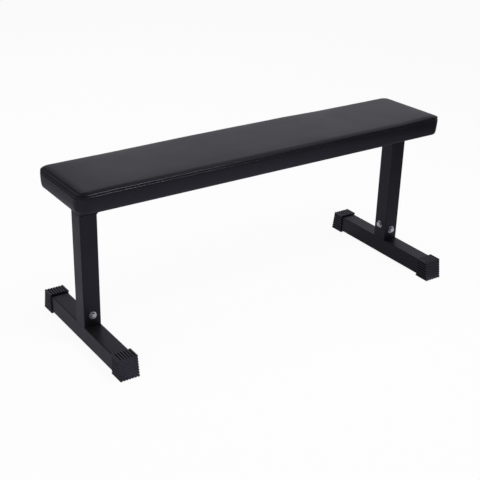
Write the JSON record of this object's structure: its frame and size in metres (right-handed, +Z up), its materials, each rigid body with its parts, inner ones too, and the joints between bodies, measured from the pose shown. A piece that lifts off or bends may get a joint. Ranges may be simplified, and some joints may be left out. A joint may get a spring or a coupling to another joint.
{
  "type": "flat weight bench",
  "caption": "Flat weight bench: a padded black board on a square-tube frame, with uprights on foot bars that end in ribbed rubber caps.",
  "frame": {"origin": "on the floor under the middle of the bench", "axes": "+X along the bench to the right, +Y across it to the rear, +Z up"},
  "size_m": [1.0872, 0.418, 0.4394],
  "materials": {
    "pad_vinyl": "fine-grained black synthetic leather, satin",
    "pad_foam": "open-cell upholstery foam, matte",
    "pad_board": "raw plywood",
    "frame_coat": "satin black powder coat on steel",
    "zinc_steel": "bright zinc plated steel",
    "cap_rubber": "matte black moulded rubber",
    "black_plastic": "matte black moulded plastic"
  },
  "bodies": {
    "root": {"pad_top_cover": "pad_vinyl", "pad_side_band": "pad_vinyl", "pad_foam": "pad_foam", "pad_board": "pad_board", "pad_staples": "zinc_steel", "pad_tee_nuts": "zinc_steel", "pad_bolts": "zinc_steel", "pad_washers": "zinc_steel", "top_rail": "frame_coat", "rail_plug_left": "black_plastic", "rail_plug_right": "black_plastic", "pad_tab_left_front": "frame_coat", "pad_tab_left_rear": "frame_coat", "weld_bead_left": "frame_coat", "upright_left": "frame_coat", "foot_bar_left": "frame_coat", "foot_spigot_left": "frame_coat", "spigot_nuts_left": "zinc_steel", "leg_bolt_left_front": "zinc_steel", "leg_washer_left_front": "zinc_steel", "leg_bolt_left_inner": "zinc_steel", "leg_washer_left_inner": "zinc_steel", "foot_cap_left_front": "cap_rubber", "foot_cap_left_rear": "cap_rubber", "pad_tab_right_front": "frame_coat", "pad_tab_right_rear": "frame_coat", "weld_bead_right": "frame_coat", "upright_right": "frame_coat", "foot_bar_right": "frame_coat", "foot_spigot_right": "frame_coat", "spigot_nuts_right": "zinc_steel", "leg_bolt_right_front": "zinc_steel", "leg_washer_right_front": "zinc_steel", "leg_bolt_right_inner": "zinc_steel", "leg_washer_right_inner": "zinc_steel", "foot_cap_right_front": "cap_rubber", "foot_cap_right_rear": "cap_rubber"}
  },
  "joints": []
}
